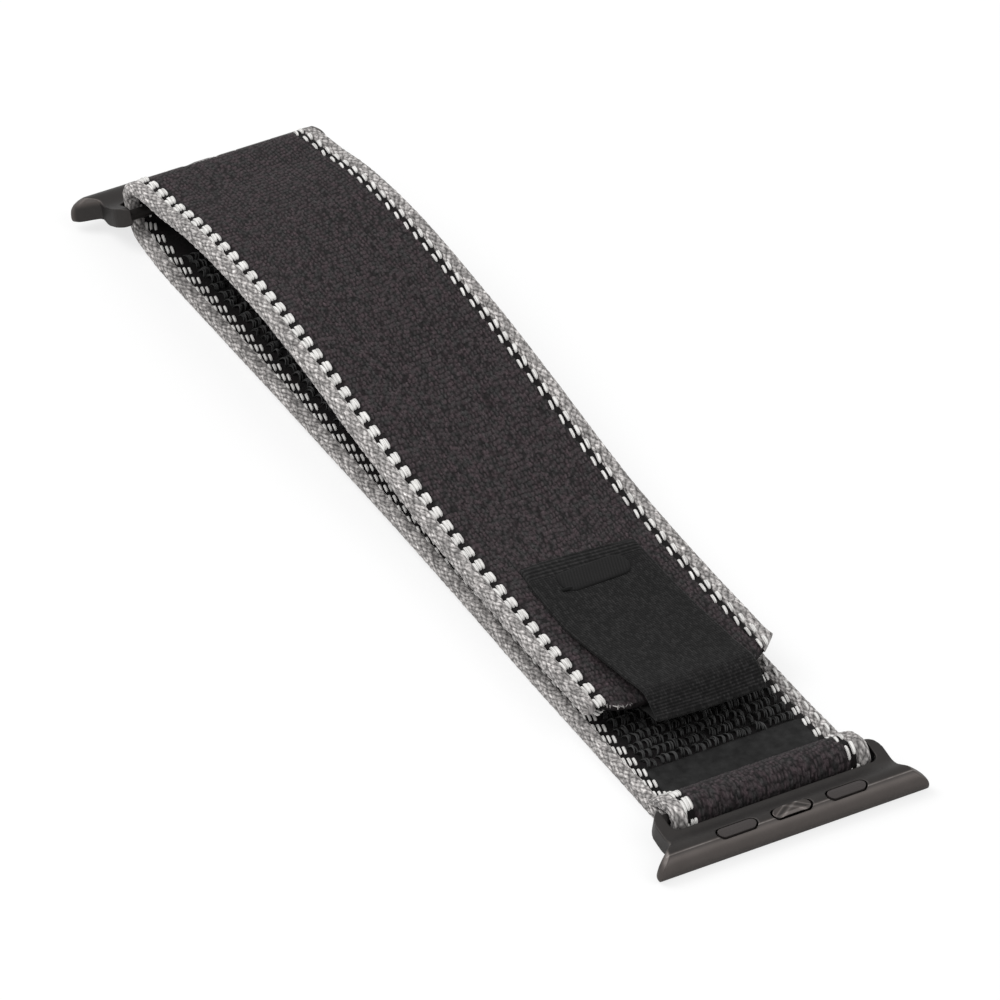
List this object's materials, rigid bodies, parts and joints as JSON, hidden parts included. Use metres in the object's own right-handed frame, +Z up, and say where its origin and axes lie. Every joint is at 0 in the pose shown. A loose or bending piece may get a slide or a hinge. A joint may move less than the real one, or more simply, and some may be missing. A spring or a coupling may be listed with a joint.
{
  "type": "fabric watch strap",
  "caption": "Woven hook-and-loop watch strap, folded back through its loop-end lug and lying flat, with a sliding lug and a sprung latch at each end and a ribbon pull tab.",
  "frame": {"origin": "middle of the strap's box, on the surface it lies on", "axes": "+X along the strap towards the fixed-end lug, +Y across it, +Z up, away from the surface"},
  "size_m": [0.1372, 0.033, 0.011],
  "materials": {
    "webbing": "charcoal woven nylon, matt",
    "selvedge": "heather grey woven selvedge with white floats, matt",
    "pile": "black loop pile, matt",
    "hook": "black moulded hooks, matt",
    "band": "smooth black bonded band",
    "ribbon": "black ribbed ribbon, matt",
    "tack": "dense black stitching",
    "lug_metal": "dark satin coated metal",
    "latch_metal": "dark satin coated metal",
    "spring_metal": "spring steel",
    "pad_polymer": "dark soft polymer"
  },
  "bodies": {
    "closure": {"lower_near": "webbing", "lower_near_edge_left": "selvedge", "lower_near_edge_right": "selvedge", "upper_near": "webbing", "upper_near_edge_left": "selvedge", "upper_near_edge_right": "selvedge", "end_wrap": "webbing", "end_wrap_edge_left": "selvedge", "end_wrap_edge_right": "selvedge", "pile_lower_near": "pile", "pile_upper_near": "pile", "bond_band": "band"},
    "free_end": {"free_end": "webbing", "free_end_edge_left": "selvedge", "free_end_edge_right": "selvedge", "hook_patch": "hook", "pull_tab": "ribbon", "bar_tack": "tack"},
    "middle": {"lower_middle": "webbing", "lower_middle_edge_left": "selvedge", "lower_middle_edge_right": "selvedge", "upper_middle": "webbing", "upper_middle_edge_left": "selvedge", "upper_middle_edge_right": "selvedge", "pile_lower_middle": "pile", "pile_upper_middle": "pile"},
    "loop_end": {"bar_fold": "webbing", "bar_fold_edge_left": "selvedge", "bar_fold_edge_right": "selvedge", "lower_far": "webbing", "lower_far_edge_left": "selvedge", "lower_far_edge_right": "selvedge", "upper_far": "webbing", "upper_far_edge_left": "selvedge", "upper_far_edge_right": "selvedge", "pile_lower_far": "pile", "pile_upper_far": "pile"},
    "far_lug": {"far_lug": "lug_metal", "far_pad_left": "pad_polymer", "far_pad_right": "pad_polymer", "far_latch_plug": "lug_metal", "far_latch_spring": "spring_metal"},
    "far_latch": {"far_latch": "latch_metal"},
    "near_lug": {"near_lug": "lug_metal", "near_pad_left": "pad_polymer", "near_pad_right": "pad_polymer", "near_latch_plug": "lug_metal", "near_latch_spring": "spring_metal"},
    "near_latch": {"near_latch": "latch_metal"}
  },
  "joints": [
    {"name": "closure_peel", "type": "hinge", "parent": "closure", "child": "free_end", "pos_m": [0.018, 0, 0.00539], "axis": [0, -1, 0], "range_deg": [0, 75]},
    {"name": "strap_bend_near", "type": "hinge", "parent": "closure", "child": "middle", "pos_m": [-0.002, 0, 0.00724], "axis": [0, 1, 0], "range_deg": [0, 20]},
    {"name": "strap_bend_far", "type": "hinge", "parent": "middle", "child": "loop_end", "pos_m": [-0.032, 0, 0.01095], "axis": [0, 1, 0], "range_deg": [0, 20]},
    {"name": "far_lug_swivel", "type": "hinge", "parent": "loop_end", "child": "far_lug", "pos_m": [-0.06201, 0, 0.00431], "axis": [0, 1, 0], "range_deg": [-8, 50]},
    {"name": "near_lug_swivel", "type": "hinge", "parent": "closure", "child": "near_lug", "pos_m": [0.06159, 0, 0.00209], "axis": [0, -1, 0], "range_deg": [-10, 80]},
    {"name": "far_latch_press", "type": "slide", "parent": "far_lug", "child": "far_latch", "axis": [0.4147, 0, -0.91], "range_m": [0, 0.0004], "stiffness_N_per_m": 400, "springref_m": -0.0003, "deforming": ["far_latch_spring"]},
    {"name": "near_latch_press", "type": "slide", "parent": "near_lug", "child": "near_latch", "axis": [-0.2079, 0, -0.9781], "range_m": [0, 0.0004], "stiffness_N_per_m": 400, "springref_m": -0.0003, "deforming": ["near_latch_spring"]}
  ]
}
